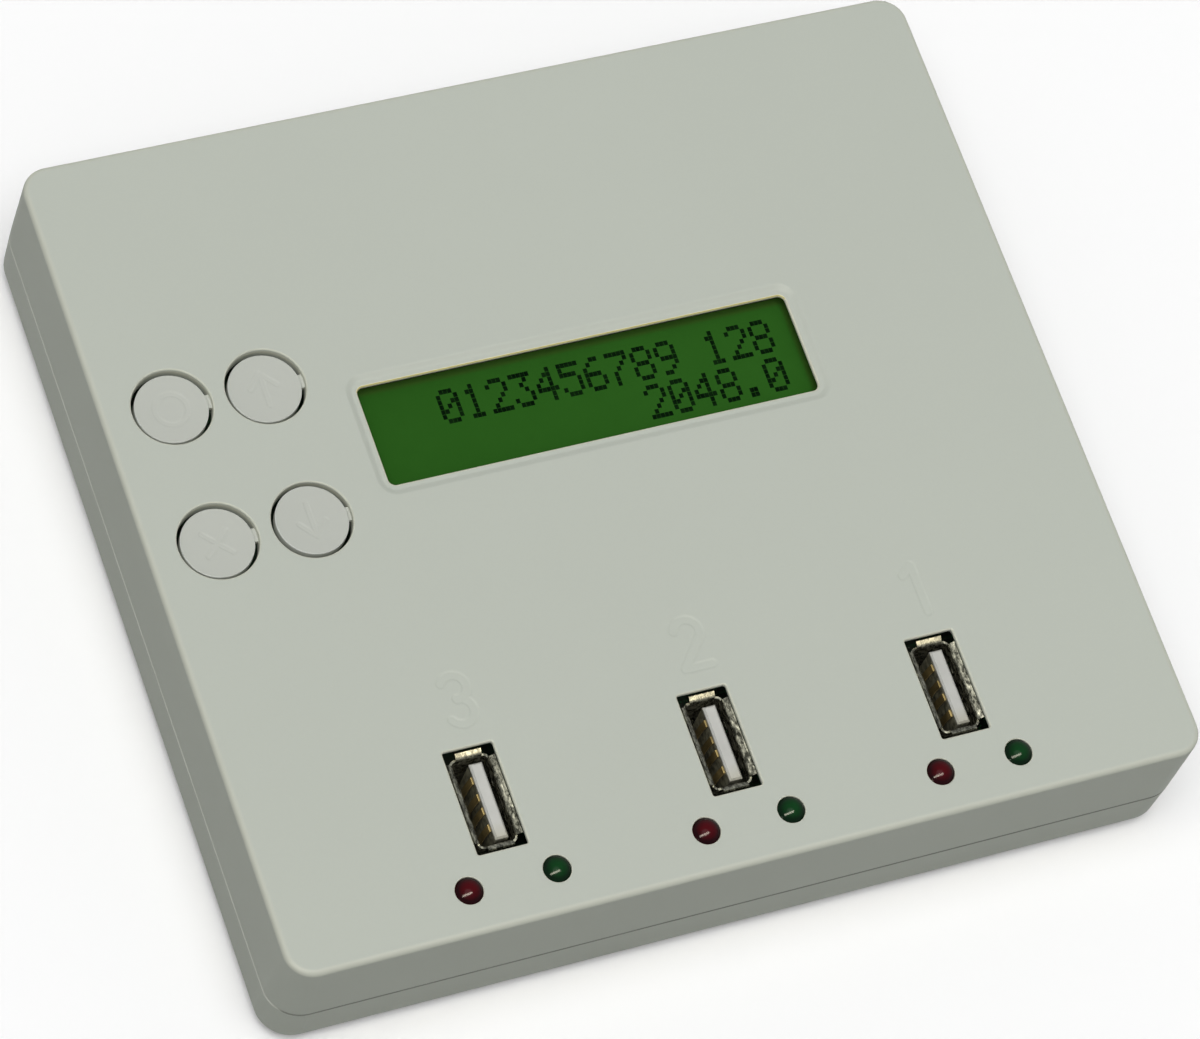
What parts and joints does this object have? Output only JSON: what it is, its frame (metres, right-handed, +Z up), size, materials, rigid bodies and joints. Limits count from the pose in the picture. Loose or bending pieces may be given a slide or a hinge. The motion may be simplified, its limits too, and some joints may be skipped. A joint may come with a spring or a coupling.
{
  "type": "usb flash drive duplicator",
  "caption": "Flat desktop copier for flash drives: two-shell case with character display, living-hinge push buttons, upright USB sockets and status LEDs.",
  "frame": {"origin": "on the desk under the middle of the case, at the level of the feet", "axes": "+X to the right along the row of sockets, +Y to the back, +Z up out of the top face"},
  "size_m": [0.1344, 0.1234, 0.0242],
  "materials": {
    "case_plastic": "moulded ABS, fine satin grain",
    "button_plastic": "moulded ABS, satin",
    "circuit_board": "green solder mask",
    "board_black": "black moulding",
    "black_steel": "black enamelled steel sheet",
    "display_glass": "glass plates",
    "display_film": "green polarising film",
    "light_guide": "clear white acrylic",
    "elastomer": "layered silicone rubber",
    "nickel_steel": "nickel plated steel sheet",
    "white_plastic": "white moulding",
    "contact_brass": "gold flashed brass",
    "tin_leads": "tinned wire",
    "led_red": "red tinted epoxy",
    "led_green": "green tinted epoxy",
    "zinc_steel": "zinc plated screws",
    "crystal_can": "pressed steel can",
    "capacitor_sleeve": "dark shrink sleeve",
    "foot_rubber": "black rubber"
  },
  "bodies": {
    "case": {"upper_case": "case_plastic", "lower_case": "case_plastic", "main_board": "circuit_board", "display_board": "circuit_board", "display_bezel": "black_steel", "display_glass": "display_glass", "display_polariser": "display_film", "display_contact_strips": "elastomer", "display_backlight": "light_guide", "display_header": "board_black", "display_header_pins": "tin_leads", "led_spacers": "board_black", "led_leads": "tin_leads", "switch_covers": "nickel_steel", "power_jack": "board_black", "power_jack_pin": "nickel_steel", "power_jack_contact": "nickel_steel", "copy_controller": "board_black", "copy_controller_leads": "tin_leads", "memory_chip": "board_black", "memory_chip_leads": "tin_leads", "crystal": "crystal_can", "capacitors": "capacitor_sleeve", "voltage_regulator": "board_black", "led_resistors": "board_black", "case_screws": "zinc_steel", "board_screws": "zinc_steel", "display_screws": "zinc_steel", "rubber_feet": "foot_rubber", "switch_body_front_left": "board_black", "switch_body_back_left": "board_black", "switch_body_front_right": "board_black", "switch_body_back_right": "board_black", "usb_shell_1": "nickel_steel", "usb_insulator_1": "white_plastic", "usb_contacts_1": "contact_brass", "led_red_1": "led_red", "led_green_1": "led_green", "usb_shell_2": "nickel_steel", "usb_insulator_2": "white_plastic", "usb_contacts_2": "contact_brass", "led_red_2": "led_red", "led_green_2": "led_green", "usb_shell_3": "nickel_steel", "usb_insulator_3": "white_plastic", "usb_contacts_3": "contact_brass", "led_red_3": "led_red", "led_green_3": "led_green"},
    "button_front_left": {"button_front_left": "button_plastic"},
    "plunger_front_left": {"switch_plunger_front_left": "board_black"},
    "button_back_left": {"button_back_left": "button_plastic"},
    "plunger_back_left": {"switch_plunger_back_left": "board_black"},
    "button_front_right": {"button_front_right": "button_plastic"},
    "plunger_front_right": {"switch_plunger_front_right": "board_black"},
    "button_back_right": {"button_back_right": "button_plastic"},
    "plunger_back_right": {"switch_plunger_back_right": "board_black"}
  },
  "joints": [
    {"name": "button_front_left_hinge", "type": "hinge", "parent": "case", "child": "button_front_left", "pos_m": [-0.0517, 0.0012, 0.02205], "axis": [0, -1, 0], "range_deg": [0, 2.9], "stiffness_Nm_per_rad": 0.001, "springref_deg": -1.72},
    {"name": "plunger_front_left_slide", "type": "slide", "parent": "case", "child": "plunger_front_left", "axis": [0, 0, -1], "range_m": [0, 0.00025], "stiffness_N_per_m": 0.1, "springref_m": -0.0085},
    {"name": "button_back_left_hinge", "type": "hinge", "parent": "case", "child": "button_back_left", "pos_m": [-0.0517, 0.0217, 0.02205], "axis": [0, -1, 0], "range_deg": [0, 2.9], "stiffness_Nm_per_rad": 0.001, "springref_deg": -1.72},
    {"name": "plunger_back_left_slide", "type": "slide", "parent": "case", "child": "plunger_back_left", "axis": [0, 0, -1], "range_m": [0, 0.00025], "stiffness_N_per_m": 0.1, "springref_m": -0.0085},
    {"name": "button_front_right_hinge", "type": "hinge", "parent": "case", "child": "button_front_right", "pos_m": [-0.0383, 0.0012, 0.02205], "axis": [0, -1, 0], "range_deg": [0, 2.9], "stiffness_Nm_per_rad": 0.001, "springref_deg": -1.72},
    {"name": "plunger_front_right_slide", "type": "slide", "parent": "case", "child": "plunger_front_right", "axis": [0, 0, -1], "range_m": [0, 0.00025], "stiffness_N_per_m": 0.1, "springref_m": -0.0085},
    {"name": "button_back_right_hinge", "type": "hinge", "parent": "case", "child": "button_back_right", "pos_m": [-0.0383, 0.0217, 0.02205], "axis": [0, -1, 0], "range_deg": [0, 2.9], "stiffness_Nm_per_rad": 0.001, "springref_deg": -1.72},
    {"name": "plunger_back_right_slide", "type": "slide", "parent": "case", "child": "plunger_back_right", "axis": [0, 0, -1], "range_m": [0, 0.00025], "stiffness_N_per_m": 0.1, "springref_m": -0.0085}
  ],
  "couplings": [
    {"joint": "button_front_left_hinge", "follows": "plunger_front_left_slide", "rad_per_m": 196.08},
    {"joint": "button_back_left_hinge", "follows": "plunger_back_left_slide", "rad_per_m": 196.08},
    {"joint": "button_front_right_hinge", "follows": "plunger_front_right_slide", "rad_per_m": 196.08},
    {"joint": "button_back_right_hinge", "follows": "plunger_back_right_slide", "rad_per_m": 196.08}
  ]
}
